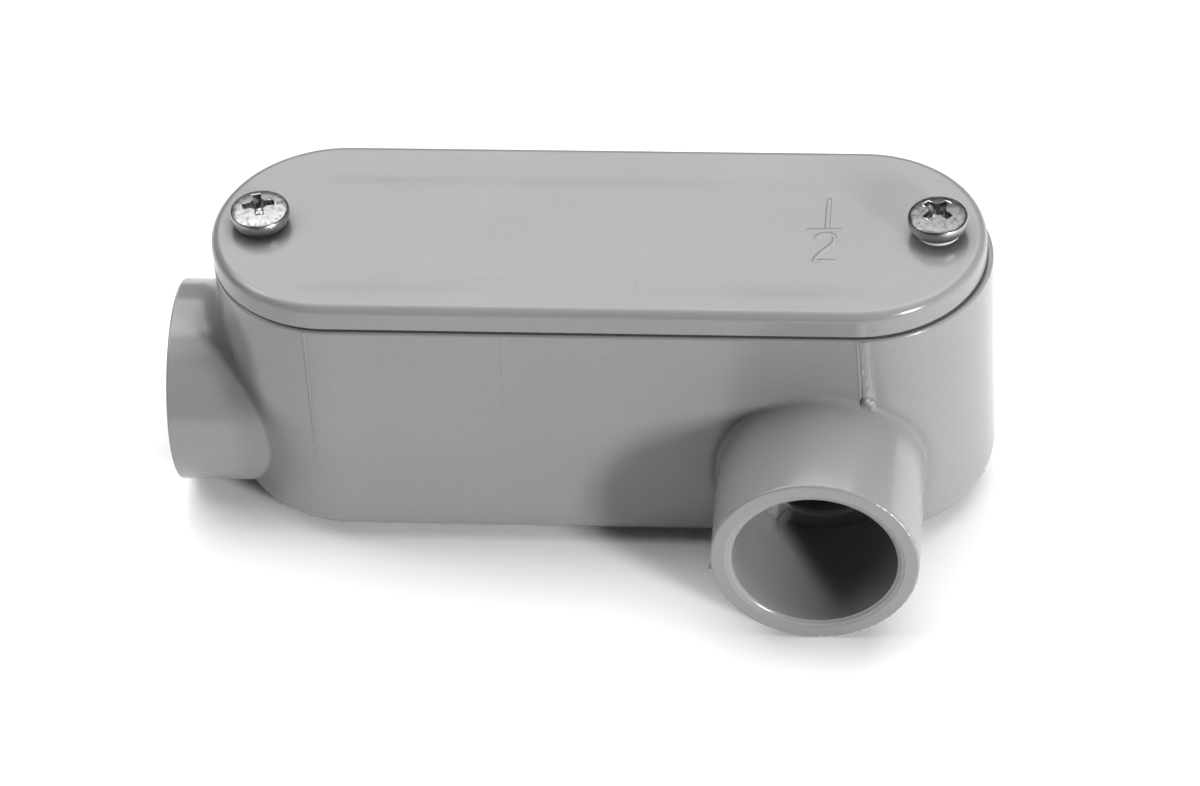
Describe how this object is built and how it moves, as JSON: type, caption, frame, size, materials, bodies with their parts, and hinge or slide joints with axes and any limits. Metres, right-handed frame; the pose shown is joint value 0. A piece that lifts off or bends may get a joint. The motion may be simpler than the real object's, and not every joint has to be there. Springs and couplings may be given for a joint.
{
  "type": "conduit body",
  "caption": "Oblong moulded conduit body with an end hub and a side hub for half-inch conduit, a gasketed screw-on cover and a wire chamber inside.",
  "frame": {"origin": "centre of the oblong box on its flat back", "axes": "+Z from the back to the cover, -X the way the end hub points, -Y the way the side hub points"},
  "size_m": [0.1102, 0.0509, 0.045],
  "materials": {
    "housing_plastic": "grey rigid PVC, satin moulded surface",
    "cover_plastic": "grey rigid PVC, satin moulded surface",
    "gasket_rubber": "dark grey soft sheet",
    "screw_steel": "plated steel, scuffed by the driver"
  },
  "bodies": {
    "housing": {"housing": "housing_plastic"},
    "cover": {"cover": "cover_plastic", "gasket": "gasket_rubber"},
    "screw_end": {"screw_end": "screw_steel"},
    "screw_far": {"screw_far": "screw_steel"}
  },
  "joints": [
    {"name": "cover_lift", "type": "slide", "parent": "housing", "child": "cover", "axis": [0, 0, 1], "range_m": [0, 0.03]},
    {"name": "screw_end_out", "type": "slide", "parent": "cover", "child": "screw_end", "axis": [0, 0, 1], "range_m": [0, 0.014]},
    {"name": "screw_far_out", "type": "slide", "parent": "cover", "child": "screw_far", "axis": [0, 0, 1], "range_m": [0, 0.014]}
  ]
}
